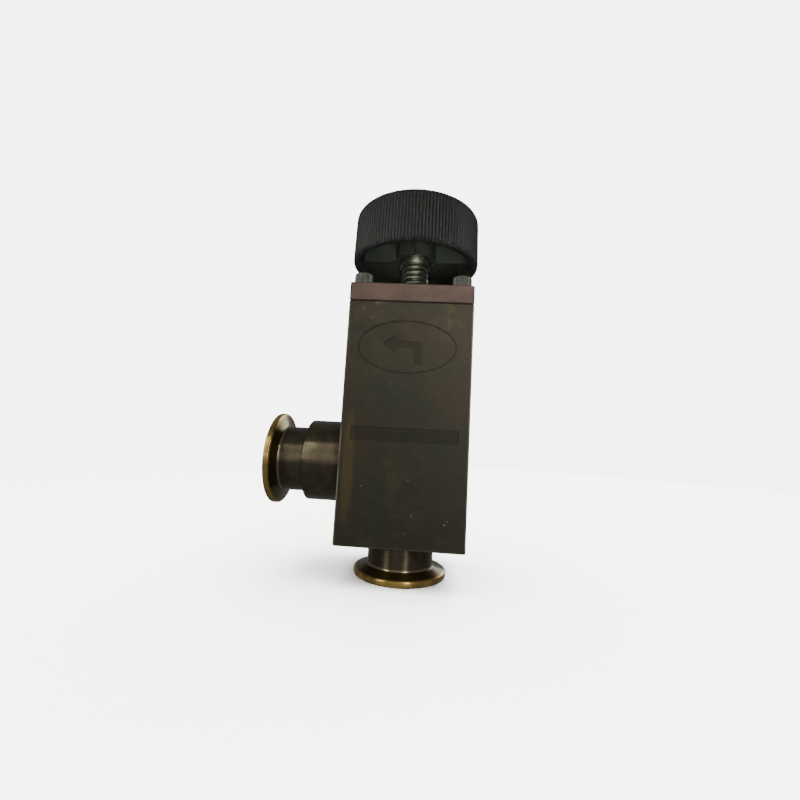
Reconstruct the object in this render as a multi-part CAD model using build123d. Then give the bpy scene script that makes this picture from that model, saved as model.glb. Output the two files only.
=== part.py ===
from build123d import *
import os
from math import cos, pi, radians, sin, sqrt, tan

# A hand-operated right-angle vacuum valve with a bellows-sealed rising stem, shown fully open.
# Millimetres, +Z up along the stem. The origin is the centre of the lower flange's sealing face,
# and the side port points to -X. Pieces that meet share a face or keep one of the named clearances.
os.makedirs("parts", exist_ok=True)

# Body block, milled from square brass bar
BLOCK_WIDTH = 50.8
BLOCK_HEIGHT = 97.6
BLOCK_CHAMFER = 0.45
BAND_MARGIN = 4.2
BAND_HEIGHT = 5.5
BAND_DEPTH = 0.35
BAND_CENTRE_HEIGHT = 59.3

# Ports with small clamp flanges, turned and brazed into the block
PORT_BORE_RADIUS = 12.0
NECK_RADIUS = 14.2
FLANGE_RADIUS = 20.0
RIM_THICKNESS = 2.6
RIM_CHAMFER = 0.5
FLANGE_TAPER_ANGLE = 15.0
NECK_FILLET = 0.8
RECESS_RADIUS = 13.1
RECESS_DEPTH = 3.0
SPIGOT_DEPTH = 5.0
SIDE_SPIGOT_RADIUS = 15.0
LOWER_PORT_LENGTH = 15.75
SIDE_PORT_HEIGHT = 46.8
SIDE_PORT_REACH = 57.95
COLLAR_RADIUS = 17.7
COLLAR_LENGTH = 17.1
COLLAR_CHAMFER = 0.6

# Valve chamber and seat inside the block
CAVITY_RADIUS = 19.0
SEAT_HEIGHT = 30.0
SEAT_LAND_RADIUS = 16.5
SEAT_LAND_RISE = 0.8
RING_SEAT_RADIUS = 23.0

# Bonnet plate and its four socket head screws
PLATE_THICKNESS = 7.75
PLATE_CHAMFER = 0.45
SCREW_INSET = 4.8
SCREW_HEAD_RADIUS = 3.97
SCREW_HEAD_HEIGHT = 4.7
SCREW_HEAD_CHAMFER = 0.5
SCREW_SHANK_RADIUS = 2.35
SCREW_THREAD_LENGTH = 11.0
SCREW_HOLE_SPARE_DEPTH = 2.5
SCREW_SOCKET_ACROSS_FLATS = 4.0
SCREW_SOCKET_DEPTH = 2.6
PLATE_HOLE_RADIUS = 2.75

# Bonnet seal in a groove under the bellows ring
BONNET_SEAL_RADIUS = 21.0
BONNET_GROOVE_WIDTH = 2.4
BONNET_GROOVE_DEPTH = 1.35

# Screw motion of the stem
THREAD_PITCH = 2.54
TURNS_TO_CLOSE = 4.0
THREAD_RADIUS = 6.35

# Threaded bush of bronze, pressed up into the plate
BUSH_RADIUS = 9.0
BUSH_LENGTH = 20.6
BUSH_SINK = 0.3
BUSH_FLANGE_RADIUS = 11.5
BUSH_FLANGE_THICKNESS = 2.0

# Bellows, its weld ring with a sleeve, and the plug carrier at its lower end
BELLOWS_OUTER_RADIUS = 15.0
BELLOWS_INNER_RADIUS = 10.2
BELLOWS_LEAF_WIDTH = 0.8
BELLOWS_CONVOLUTIONS = 8
WELD_RING_THICKNESS = 3.0
SLEEVE_LENGTH = 19.0
SLEEVE_INNER_RADIUS = 12.3
SLEEVE_WALL = 1.2
SLEEVE_LIP_THICKNESS = 1.5
CARRIER_PLATE_THICKNESS = 4.0
CARRIER_HUB_RADIUS = 9.0
CARRIER_SPIGOT_RADIUS = 5.0
CARRIER_SPIGOT_LENGTH = 3.0

# Plug with its seal, retainer and retainer screw
PLUG_RADIUS = 16.5
PLUG_THICKNESS = 8.0
SEAL_RADIUS = 14.0
SEAL_SECTION_RADIUS = 1.3
SEAL_STAND_PROUD = 0.4
RETAINER_SCREW_RADIUS = 2.0
RETAINER_HEAD_RADIUS = 3.6
RETAINER_HEAD_HEIGHT = 1.9
RETAINER_SOCKET_ACROSS_FLATS = 2.5
RETAINER_SOCKET_DEPTH = 1.1
RETAINER_SCREW_REACH = 2.8

# Swivel that couples the turning stem to the carrier: ball, snap ring and gland nut
STEM_END_RADIUS = 5.0
BALL_RADIUS = 2.5
BALL_POCKET_DEPTH = 0.8
STEM_POCKET_DEPTH = 1.5
STEM_TIP_LENGTH = 2.2
SNAP_RING_RADIUS = 6.3
SNAP_RING_THICKNESS = 1.2
SNAP_RING_SLOT_WIDTH = 4.2
SNAP_GROOVE_RADIUS = 4.2
GLAND_THREAD_RADIUS = 6.8
GLAND_THREAD_LENGTH = 8.0
GLAND_HEAD_ACROSS_FLATS = 14.0
GLAND_HEAD_HEIGHT = 5.0
THREAD_RUNOUT = 0.6

# Stem shoulder and shank under the knob
SHOULDER_RADIUS = 7.5
SHOULDER_RISE = 0.9
SHANK_RADIUS = 4.7
SHANK_FLAT = 3.9
SHANK_STEP_BACK = 0.3

# Knob, moulded in black plastic with fine flutes and a ribbed hollow underside
KNOB_GAP = 17.0
KNOB_RADIUS = 29.2
KNOB_HEIGHT = 23.1
KNOB_DRAFT = 0.4
KNOB_EDGE_RADIUS = 2.6
KNOB_WALL = 4.0
KNOB_HOLLOW_ROUNDING = 2.0
KNOB_TOP_WALL = 3.5
KNOB_MOUTH_WIDENING = 0.6
KNOB_MOUTH_DEPTH = 3.0
KNOB_LIP_ROUNDING = 2.8
KNOB_LIP_EASE = 0.8
FLUTE_COUNT = 126
FLUTE_DEPTH = 0.5
HUB_RADIUS = 9.5
HUB_RISE = 4.1
HUB_MOUTH_RADIUS = 8.25
HUB_MOUTH_DEPTH = 2.5
RIB_COUNT = 4
RIB_THICKNESS = 1.3

# Knob insert, screw, washer and top cap
INSERT_RADIUS = 7.0
INSERT_LENGTH = 9.6
TOP_RECESS_RADIUS = 7.5
WASHER_RADIUS = 6.4
WASHER_THICKNESS = 1.0
KNOB_SCREW_RADIUS = 2.4
KNOB_SCREW_LENGTH = 12.0
KNOB_SCREW_HEAD_RADIUS = 4.25
KNOB_SCREW_HEAD_HEIGHT = 3.0
KNOB_SCREW_HEAD_CHAMFER = 0.6
KNOB_SCREW_SOCKET_ACROSS_FLATS = 3.0
KNOB_SCREW_SOCKET_DEPTH = 1.5
CAP_THICKNESS = 2.2
CAP_SINK = 0.2
CAP_CHAMFER = 0.2

# Clearances
RUNNING_FIT = 0.05
SEATING_FIT = 0.05
SEAT_GAP = 0.2
STOP_GAP = 0.3
BALL_GAP = 0.1
SWIVEL_GAP = 0.1
SCREW_END_GAP = 0.1
MATCHING = 1e-6

# Widths and heights that follow from the sizes above
BAND_WIDTH = BLOCK_WIDTH - 2 * BAND_MARGIN
SCREW_SPACING = BLOCK_WIDTH - 2 * SCREW_INSET
BLOCK_BOTTOM = LOWER_PORT_LENGTH
BLOCK_TOP = BLOCK_BOTTOM + BLOCK_HEIGHT
PLATE_TOP = BLOCK_TOP + PLATE_THICKNESS
TRAVEL = THREAD_PITCH * TURNS_TO_CLOSE
PLUG_BOTTOM = SEAT_HEIGHT + SEAT_GAP + TRAVEL + SEAL_STAND_PROUD
CARRIER_BOTTOM = PLUG_BOTTOM + PLUG_THICKNESS
BELLOWS_BOTTOM = CARRIER_BOTTOM + CARRIER_PLATE_THICKNESS
WELD_RING_BOTTOM = BLOCK_TOP - WELD_RING_THICKNESS
BELLOWS_TOP = WELD_RING_BOTTOM - SLEEVE_LENGTH
BUSH_TOP = PLATE_TOP - BUSH_SINK
BUSH_BOTTOM = BUSH_TOP - BUSH_LENGTH
GLAND_TOP = BUSH_BOTTOM - STOP_GAP
CARRIER_TOP = GLAND_TOP - GLAND_HEAD_HEIGHT
GLAND_BOTTOM = CARRIER_TOP - GLAND_THREAD_LENGTH
SNAP_RING_BOTTOM = GLAND_BOTTOM - SWIVEL_GAP - SNAP_RING_THICKNESS
STEM_BOTTOM = SNAP_RING_BOTTOM - STEM_TIP_LENGTH
BALL_CENTRE = STEM_BOTTOM + STEM_POCKET_DEPTH - BALL_GAP - BALL_RADIUS
CARRIER_FLOOR = BALL_CENTRE - BALL_RADIUS + BALL_POCKET_DEPTH
KNOB_BOTTOM = PLATE_TOP + KNOB_GAP
KNOB_TOP = KNOB_BOTTOM + KNOB_HEIGHT
HUB_BOTTOM = KNOB_BOTTOM + HUB_RISE
INSERT_BOTTOM = HUB_BOTTOM + HUB_MOUTH_DEPTH
INSERT_TOP = INSERT_BOTTOM + INSERT_LENGTH
WASHER_TOP = INSERT_TOP + WASHER_THICKNESS
CAP_TOP = KNOB_TOP - CAP_SINK


def cylinder(radius, bottom, top, x=0.0, y=0.0):
    # Upright cylinder between two heights
    upright = (Align.CENTER, Align.CENTER, Align.MIN)
    return Pos(x, y, bottom) * Cylinder(radius, top - bottom, align=upright)


def ring(outer_radius, inner_radius, bottom, top):
    # Washer-shaped solid between two heights
    return cylinder(outer_radius, bottom, top) - cylinder(inner_radius, bottom, top)


def hexagon(across_flats, bottom, top):
    # Upright hexagonal prism on the stem axis
    outline = Pos(0, 0, bottom) * RegularPolygon(across_flats / sqrt(3), 6)
    return extrude(outline, top - bottom)


def turned(*points):
    # Solid of revolution about the stem axis from (radius, height) points
    outline = Plane.XZ * make_face(Polyline(*points, close=True))
    return revolve(outline, Axis.Z)


def block_bar(width, bottom, top, chamfer_size):
    # Square bar length with all its edges broken
    bar = Box(width, width, top - bottom, align=(Align.CENTER, Align.CENTER, Align.MIN))
    return Pos(0, 0, bottom) * chamfer(bar.edges(), chamfer_size)


def round_edges(solid, radius, height):
    # The circular edges of one radius at one height
    circles = solid.edges().filter_by(GeomType.CIRCLE)
    level = [edge for edge in circles if abs(edge.arc_center.Z - height) < MATCHING]
    return [edge for edge in level if abs(edge.radius - radius) < MATCHING]


def screw_places():
    # Centres of the bonnet screws, from the front left corner round
    half = SCREW_SPACING / 2
    return [(-half, -half), (half, -half), (half, half), (-half, half)]


def across(solid):
    # Turns a piece made on the stem axis, sealing face at height 0, on to the side port's axis
    return Pos(-SIDE_PORT_REACH, 0, SIDE_PORT_HEIGHT) * Rot(0, 90, 0) * solid


def make_valve_block():
    body = block_bar(BLOCK_WIDTH, BLOCK_BOTTOM, BLOCK_TOP, BLOCK_CHAMFER)
    seat_floor = SEAT_HEIGHT - SEAT_LAND_RISE
    body -= cylinder(CAVITY_RADIUS, seat_floor, BLOCK_TOP)
    body += ring(SEAT_LAND_RADIUS, PORT_BORE_RADIUS, seat_floor, SEAT_HEIGHT)
    body -= cylinder(RING_SEAT_RADIUS, WELD_RING_BOTTOM, BLOCK_TOP)
    groove_half = BONNET_GROOVE_WIDTH / 2
    body -= ring(
        BONNET_SEAL_RADIUS + groove_half,
        BONNET_SEAL_RADIUS - groove_half,
        WELD_RING_BOTTOM - BONNET_GROOVE_DEPTH,
        WELD_RING_BOTTOM,
    )
    body -= cylinder(PORT_BORE_RADIUS, BLOCK_BOTTOM, seat_floor)
    body -= cylinder(NECK_RADIUS + SEATING_FIT, BLOCK_BOTTOM, BLOCK_BOTTOM + SPIGOT_DEPTH)
    side_face = SIDE_PORT_REACH - BLOCK_WIDTH / 2
    body -= across(cylinder(PORT_BORE_RADIUS, side_face, SIDE_PORT_REACH - CAVITY_RADIUS / 2))
    body -= across(cylinder(SIDE_SPIGOT_RADIUS + SEATING_FIT, side_face, side_face + SPIGOT_DEPTH))
    screw_bottom = BLOCK_TOP - SCREW_THREAD_LENGTH - SCREW_HOLE_SPARE_DEPTH
    for x, y in screw_places():
        body -= cylinder(SCREW_SHANK_RADIUS + SEATING_FIT, screw_bottom, BLOCK_TOP, x, y)
    # Shallow blank band milled across the front
    band = Box(BAND_WIDTH, 2 * BAND_DEPTH, BAND_HEIGHT)
    return body - Pos(0, -BLOCK_WIDTH / 2, BAND_CENTRE_HEIGHT) * band


def port_tube(length, spigot_radius):
    # Flange, neck and spigot in one turning, sealing face at height 0
    taper_rise = (FLANGE_RADIUS - NECK_RADIUS) * tan(radians(FLANGE_TAPER_ANGLE))
    neck_start = RIM_THICKNESS + taper_rise
    tube = turned(
        (RECESS_RADIUS, 0),
        (FLANGE_RADIUS, 0),
        (FLANGE_RADIUS, RIM_THICKNESS),
        (NECK_RADIUS, neck_start),
        (NECK_RADIUS, length),
        (PORT_BORE_RADIUS, length),
        (PORT_BORE_RADIUS, RECESS_DEPTH),
        (RECESS_RADIUS, RECESS_DEPTH),
    )
    tube = chamfer(round_edges(tube, FLANGE_RADIUS, 0), RIM_CHAMFER)
    tube = chamfer(round_edges(tube, FLANGE_RADIUS, RIM_THICKNESS), RIM_CHAMFER)
    tube = fillet(round_edges(tube, NECK_RADIUS, neck_start), NECK_FILLET)
    return tube + ring(spigot_radius, PORT_BORE_RADIUS, length, length + SPIGOT_DEPTH)


def make_lower_port():
    return port_tube(BLOCK_BOTTOM, NECK_RADIUS)


def make_side_port():
    # The side neck swells to a stout collar that butts against the block
    length = SIDE_PORT_REACH - BLOCK_WIDTH / 2
    collar_start = length - COLLAR_LENGTH
    collar = ring(COLLAR_RADIUS, PORT_BORE_RADIUS, collar_start, length)
    collar = chamfer(round_edges(collar, COLLAR_RADIUS, collar_start), COLLAR_CHAMFER)
    return across(port_tube(length, SIDE_SPIGOT_RADIUS) + collar)


def make_bonnet_plate():
    plate = block_bar(BLOCK_WIDTH, BLOCK_TOP, PLATE_TOP, PLATE_CHAMFER)
    plate -= cylinder(BUSH_RADIUS + SEATING_FIT, BLOCK_TOP, PLATE_TOP)
    recess_top = BLOCK_TOP + BUSH_FLANGE_THICKNESS
    plate -= cylinder(BUSH_FLANGE_RADIUS + SEATING_FIT, BLOCK_TOP, recess_top)
    for x, y in screw_places():
        plate -= cylinder(PLATE_HOLE_RADIUS, BLOCK_TOP, PLATE_TOP, x, y)
    return plate


def make_bonnet_screw(x, y):
    head = cylinder(SCREW_HEAD_RADIUS, PLATE_TOP, PLATE_TOP + SCREW_HEAD_HEIGHT)
    head = chamfer(head.edges().filter_by(GeomType.CIRCLE).sort_by(Axis.Z)[-1:], SCREW_HEAD_CHAMFER)
    socket_floor = PLATE_TOP + SCREW_HEAD_HEIGHT - SCREW_SOCKET_DEPTH
    head -= hexagon(SCREW_SOCKET_ACROSS_FLATS, socket_floor, PLATE_TOP + SCREW_HEAD_HEIGHT)
    shank = cylinder(SCREW_SHANK_RADIUS, BLOCK_TOP - SCREW_THREAD_LENGTH, PLATE_TOP)
    return Pos(x, y, 0) * (head + shank)


def make_bonnet_seal():
    # O-ring squeezed to the depth of its groove
    centre = WELD_RING_BOTTOM - BONNET_GROOVE_DEPTH / 2
    section = Pos(BONNET_SEAL_RADIUS, centre) * Ellipse(
        BONNET_GROOVE_WIDTH / 2 - SEATING_FIT, BONNET_GROOVE_DEPTH / 2
    )
    return revolve(Plane.XZ * section, Axis.Z)


def make_thread_bush():
    bush = cylinder(BUSH_RADIUS, BUSH_BOTTOM, BUSH_TOP)
    bush += cylinder(BUSH_FLANGE_RADIUS, BLOCK_TOP, BLOCK_TOP + BUSH_FLANGE_THICKNESS)
    return bush - cylinder(THREAD_RADIUS + RUNNING_FIT, BUSH_BOTTOM, BUSH_TOP)


def make_weld_ring():
    # Ring clamped under the plate, with a sleeve that carries the bellows clear of the bush
    sleeve_radius = SLEEVE_INNER_RADIUS + SLEEVE_WALL
    ring_radius = RING_SEAT_RADIUS - 2 * SEATING_FIT
    weld_ring = ring(ring_radius, SLEEVE_INNER_RADIUS, WELD_RING_BOTTOM, BLOCK_TOP)
    weld_ring += ring(sleeve_radius, SLEEVE_INNER_RADIUS, BELLOWS_TOP, WELD_RING_BOTTOM)
    lip_top = BELLOWS_TOP + SLEEVE_LIP_THICKNESS
    return weld_ring + ring(BELLOWS_OUTER_RADIUS, BELLOWS_INNER_RADIUS, BELLOWS_TOP, lip_top)


def make_bellows():
    # Thin conical leaves welded in turn at their outer and inner rims
    leaf_rise = (BELLOWS_TOP - BELLOWS_BOTTOM) / (2 * BELLOWS_CONVOLUTIONS)
    outside = []
    inside = []
    for leaf in range(2 * BELLOWS_CONVOLUTIONS + 1):
        height = BELLOWS_BOTTOM + leaf * leaf_rise
        at_rim = leaf % 2 == 0
        outer = BELLOWS_OUTER_RADIUS if at_rim else BELLOWS_INNER_RADIUS + BELLOWS_LEAF_WIDTH
        outside.append((outer, height))
        inside.append((outer - BELLOWS_LEAF_WIDTH, height))
    return turned(*outside, *reversed(inside))


def make_plug_carrier():
    screw_end = CARRIER_BOTTOM + RETAINER_SCREW_REACH + SCREW_END_GAP
    carrier = turned(
        (0, CARRIER_BOTTOM - CARRIER_SPIGOT_LENGTH),
        (CARRIER_SPIGOT_RADIUS, CARRIER_BOTTOM - CARRIER_SPIGOT_LENGTH),
        (CARRIER_SPIGOT_RADIUS, CARRIER_BOTTOM),
        (BELLOWS_OUTER_RADIUS, CARRIER_BOTTOM),
        (BELLOWS_OUTER_RADIUS, BELLOWS_BOTTOM),
        (CARRIER_HUB_RADIUS, BELLOWS_BOTTOM),
        (CARRIER_HUB_RADIUS, CARRIER_TOP),
        (GLAND_THREAD_RADIUS + SEATING_FIT, CARRIER_TOP),
        (GLAND_THREAD_RADIUS + SEATING_FIT, CARRIER_FLOOR),
        (0, CARRIER_FLOOR),
    )
    carrier -= Pos(0, 0, BALL_CENTRE) * Sphere(BALL_RADIUS)
    screw_hole_radius = RETAINER_SCREW_RADIUS + SEATING_FIT
    return carrier - cylinder(screw_hole_radius, CARRIER_BOTTOM - CARRIER_SPIGOT_LENGTH, screw_end)


def make_plug():
    # Disc with a stepped underside that holds the seal's outer half
    groove_top = PLUG_BOTTOM + groove_depth()
    plug = cylinder(PLUG_RADIUS, PLUG_BOTTOM, CARRIER_BOTTOM)
    plug -= cylinder(SEAL_RADIUS + SEAL_SECTION_RADIUS + SEATING_FIT, PLUG_BOTTOM, groove_top)
    plug -= cylinder(RETAINER_SCREW_RADIUS + SEATING_FIT, groove_top, CARRIER_BOTTOM)
    spigot_bottom = CARRIER_BOTTOM - CARRIER_SPIGOT_LENGTH
    return plug - cylinder(CARRIER_SPIGOT_RADIUS + SEATING_FIT, spigot_bottom, CARRIER_BOTTOM)


def groove_depth():
    return 2 * SEAL_SECTION_RADIUS - SEAL_STAND_PROUD


def make_plug_seal():
    centre = PLUG_BOTTOM + groove_depth() - SEAL_SECTION_RADIUS
    section = Pos(SEAL_RADIUS, centre) * Circle(SEAL_SECTION_RADIUS)
    return revolve(Plane.XZ * section, Axis.Z)


def make_seal_retainer():
    outer = SEAL_RADIUS - SEAL_SECTION_RADIUS - SEATING_FIT
    inner = RETAINER_SCREW_RADIUS + SEATING_FIT
    return ring(outer, inner, PLUG_BOTTOM, PLUG_BOTTOM + groove_depth())


def make_retainer_screw():
    head_bottom = PLUG_BOTTOM - RETAINER_HEAD_HEIGHT
    screw = cylinder(RETAINER_HEAD_RADIUS, head_bottom, PLUG_BOTTOM)
    screw -= hexagon(RETAINER_SOCKET_ACROSS_FLATS, head_bottom, head_bottom + RETAINER_SOCKET_DEPTH)
    shank_top = CARRIER_BOTTOM + RETAINER_SCREW_REACH
    return screw + cylinder(RETAINER_SCREW_RADIUS, PLUG_BOTTOM, shank_top)


def make_thrust_ball():
    return Pos(0, 0, BALL_CENTRE) * Sphere(BALL_RADIUS)


def make_snap_ring():
    # Open wire ring sprung into the stem's groove
    snap_ring_top = SNAP_RING_BOTTOM + SNAP_RING_THICKNESS
    snap = ring(SNAP_RING_RADIUS, SNAP_GROOVE_RADIUS, SNAP_RING_BOTTOM, snap_ring_top)
    from_corner = (Align.MIN, Align.CENTER, Align.MIN)
    slot = Box(SNAP_RING_RADIUS, SNAP_RING_SLOT_WIDTH, SNAP_RING_THICKNESS, align=from_corner)
    return snap - Pos(0, 0, SNAP_RING_BOTTOM) * slot


def make_gland_nut():
    nut = cylinder(GLAND_THREAD_RADIUS, GLAND_BOTTOM, CARRIER_TOP)
    nut += hexagon(GLAND_HEAD_ACROSS_FLATS, CARRIER_TOP, GLAND_TOP)
    return nut - cylinder(STEM_END_RADIUS + RUNNING_FIT, GLAND_BOTTOM, GLAND_TOP)


def make_stem():
    # Turned steel stem: plain end, coarse thread at its full diameter, shoulder and flatted shank
    shank_top = INSERT_TOP - SHANK_STEP_BACK
    shoulder_bottom = KNOB_BOTTOM + SHOULDER_RISE
    thread_bottom = GLAND_TOP + THREAD_RUNOUT
    groove_top = SNAP_RING_BOTTOM + SNAP_RING_THICKNESS
    stem = turned(
        (0, STEM_BOTTOM),
        (STEM_END_RADIUS, STEM_BOTTOM),
        (STEM_END_RADIUS, SNAP_RING_BOTTOM),
        (SNAP_GROOVE_RADIUS, SNAP_RING_BOTTOM),
        (SNAP_GROOVE_RADIUS, groove_top),
        (STEM_END_RADIUS, groove_top),
        (STEM_END_RADIUS, thread_bottom),
        (THREAD_RADIUS, thread_bottom),
        (THREAD_RADIUS, shoulder_bottom),
        (SHOULDER_RADIUS, shoulder_bottom),
        (SHOULDER_RADIUS, INSERT_BOTTOM),
        (SHANK_RADIUS, INSERT_BOTTOM),
        (SHANK_RADIUS, shank_top),
        (0, shank_top),
    )
    stem -= cylinder(BALL_RADIUS + BALL_GAP, STEM_BOTTOM, STEM_BOTTOM + STEM_POCKET_DEPTH)
    stem -= flat_cut(SHANK_FLAT, SHANK_RADIUS, INSERT_BOTTOM, shank_top)
    screw_end = WASHER_TOP - KNOB_SCREW_LENGTH - SCREW_END_GAP
    return stem - cylinder(KNOB_SCREW_RADIUS + SEATING_FIT, screw_end, shank_top)


def flat_cut(flat, radius, bottom, top):
    # Segment beyond a flat on the +X side
    block = Box(radius, 2 * radius, top - bottom, align=(Align.MIN, Align.CENTER, Align.MIN))
    return Pos(flat, 0, bottom) * block


def make_knob_insert():
    bore = cylinder(SHANK_RADIUS + SEATING_FIT, INSERT_BOTTOM, INSERT_TOP)
    bore -= flat_cut(SHANK_FLAT + SEATING_FIT, SHANK_RADIUS + SEATING_FIT, INSERT_BOTTOM, INSERT_TOP)
    return cylinder(INSERT_RADIUS, INSERT_BOTTOM, INSERT_TOP) - bore


def fluted_outline():
    # Star of fine V flutes, crest to crest round the knob
    step = 2 * pi / FLUTE_COUNT
    points = []
    for flute in range(FLUTE_COUNT):
        crest = flute * step
        root = crest + step / 2
        root_radius = KNOB_RADIUS - FLUTE_DEPTH
        points.append((KNOB_RADIUS * cos(crest), KNOB_RADIUS * sin(crest)))
        points.append((root_radius * cos(root), root_radius * sin(root)))
    return make_face(Polyline(*points, close=True))


def make_knob():
    # Drafted cup with a rounded crown, so the flutes die out where the crown and the lip turn in
    upper_radius = KNOB_RADIUS - KNOB_DRAFT
    crown_start = KNOB_TOP - KNOB_EDGE_RADIUS
    crown_centre = upper_radius - KNOB_EDGE_RADIUS
    crown_middle = KNOB_EDGE_RADIUS * cos(radians(45))
    crown = ThreePointArc(
        (upper_radius, crown_start),
        (crown_centre + crown_middle, crown_start + crown_middle),
        (crown_centre, KNOB_TOP),
    )
    sides = Polyline(
        (crown_centre, KNOB_TOP),
        (0, KNOB_TOP),
        (0, KNOB_BOTTOM),
        (KNOB_RADIUS - KNOB_LIP_ROUNDING, KNOB_BOTTOM),
        (KNOB_RADIUS - KNOB_LIP_EASE, KNOB_BOTTOM + KNOB_LIP_EASE),
        (KNOB_RADIUS, KNOB_BOTTOM + KNOB_LIP_ROUNDING),
        (upper_radius, crown_start),
    )
    cup = revolve(Plane.XZ * make_face(crown + sides), Axis.Z)
    cup &= extrude(Pos(0, 0, KNOB_BOTTOM) * fluted_outline(), KNOB_HEIGHT)
    hollow_top = KNOB_TOP - KNOB_TOP_WALL
    hollow_radius = KNOB_RADIUS - KNOB_WALL
    hollow = cylinder(hollow_radius, KNOB_BOTTOM, hollow_top)
    inner_edge = hollow.edges().filter_by(GeomType.CIRCLE).sort_by(Axis.Z)[-1:]
    hollow = fillet(inner_edge, KNOB_HOLLOW_ROUNDING)
    # The skirt widens at its mouth
    on_floor = (Align.CENTER, Align.CENTER, Align.MIN)
    mouth_radius = hollow_radius + KNOB_MOUTH_WIDENING
    hollow += Pos(0, 0, KNOB_BOTTOM) * Cone(mouth_radius, hollow_radius, KNOB_MOUTH_DEPTH, align=on_floor)
    hollow -= cylinder(HUB_RADIUS, HUB_BOTTOM, KNOB_TOP)
    rib_reach = hollow_radius + KNOB_WALL / 2 - HUB_RADIUS / 2
    rib = Pos(HUB_RADIUS / 2, 0, HUB_BOTTOM) * Box(
        rib_reach, RIB_THICKNESS, KNOB_TOP - HUB_BOTTOM, align=(Align.MIN, Align.CENTER, Align.MIN)
    )
    for turn in range(RIB_COUNT):
        hollow -= Rot(0, 0, turn * 360 / RIB_COUNT) * rib
    cup -= hollow
    cup -= cylinder(HUB_MOUTH_RADIUS, HUB_BOTTOM, INSERT_BOTTOM)
    cup -= cylinder(INSERT_RADIUS, INSERT_BOTTOM, INSERT_TOP)
    return cup - cylinder(TOP_RECESS_RADIUS, INSERT_TOP, KNOB_TOP)


def make_knob_washer():
    return ring(WASHER_RADIUS, KNOB_SCREW_RADIUS + SEATING_FIT, INSERT_TOP, WASHER_TOP)


def make_knob_screw():
    head_top = WASHER_TOP + KNOB_SCREW_HEAD_HEIGHT
    screw = cylinder(KNOB_SCREW_HEAD_RADIUS, WASHER_TOP, head_top)
    screw = chamfer(screw.edges().filter_by(GeomType.CIRCLE).sort_by(Axis.Z)[-1:], KNOB_SCREW_HEAD_CHAMFER)
    screw -= hexagon(KNOB_SCREW_SOCKET_ACROSS_FLATS, head_top - KNOB_SCREW_SOCKET_DEPTH, head_top)
    return screw + cylinder(KNOB_SCREW_RADIUS, WASHER_TOP - KNOB_SCREW_LENGTH, WASHER_TOP)


def make_knob_cap():
    cap = cylinder(TOP_RECESS_RADIUS - SEATING_FIT, CAP_TOP - CAP_THICKNESS, CAP_TOP)
    return chamfer(cap.edges().filter_by(GeomType.CIRCLE).sort_by(Axis.Z)[-1:], CAP_CHAMFER)


nodes = {
    "valve_block": make_valve_block(),
    "lower_port": make_lower_port(),
    "side_port": make_side_port(),
    "bonnet_plate": make_bonnet_plate(),
    "bonnet_seal": make_bonnet_seal(),
    "thread_bush": make_thread_bush(),
    "weld_ring": make_weld_ring(),
    "bellows": make_bellows(),
    "plug_carrier": make_plug_carrier(),
    "plug": make_plug(),
    "plug_seal": make_plug_seal(),
    "seal_retainer": make_seal_retainer(),
    "retainer_screw": make_retainer_screw(),
    "thrust_ball": make_thrust_ball(),
    "gland_nut": make_gland_nut(),
    "snap_ring": make_snap_ring(),
    "stem": make_stem(),
    "knob": make_knob(),
    "knob_insert": make_knob_insert(),
    "knob_washer": make_knob_washer(),
    "knob_screw": make_knob_screw(),
    "knob_cap": make_knob_cap(),
}
for number, place in enumerate(screw_places(), start=1):
    nodes[f"bonnet_screw_{number}"] = make_bonnet_screw(*place)

for name, solid in nodes.items():
    export_step(solid, f"parts/{name}.step")
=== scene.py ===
import math

import bmesh
import bpy
from mathutils import Matrix, Vector


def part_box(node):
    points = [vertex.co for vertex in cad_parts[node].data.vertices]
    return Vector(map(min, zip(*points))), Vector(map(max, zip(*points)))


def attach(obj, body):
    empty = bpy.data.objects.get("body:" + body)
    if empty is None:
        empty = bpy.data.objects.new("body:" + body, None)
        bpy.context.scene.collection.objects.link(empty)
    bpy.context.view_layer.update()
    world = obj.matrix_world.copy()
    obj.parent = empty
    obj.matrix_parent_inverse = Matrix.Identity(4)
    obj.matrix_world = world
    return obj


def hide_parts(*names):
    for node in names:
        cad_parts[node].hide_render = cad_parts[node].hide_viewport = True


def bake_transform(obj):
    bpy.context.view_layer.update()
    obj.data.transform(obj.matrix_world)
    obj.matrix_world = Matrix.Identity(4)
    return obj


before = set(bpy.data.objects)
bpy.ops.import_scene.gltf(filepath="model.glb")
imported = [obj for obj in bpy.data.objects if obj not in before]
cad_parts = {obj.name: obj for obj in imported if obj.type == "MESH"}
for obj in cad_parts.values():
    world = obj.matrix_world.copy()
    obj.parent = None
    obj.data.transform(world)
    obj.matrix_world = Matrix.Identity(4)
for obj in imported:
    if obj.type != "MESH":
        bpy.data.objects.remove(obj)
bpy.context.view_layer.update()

MM = 0.001

# View
# The camera stands close to the valve, a little right of it, tilted up and rolled as in the photograph.
PICTURE_WIDTH = 800
FOCAL_PIXELS = 393.06
SENSOR_WIDTH = 36.0
CAMERA_PLACE = Vector((0.006131, -0.179319, 0.056228))
YAW, PITCH, ROLL = -0.0555, 0.1089, 0.0555

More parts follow.
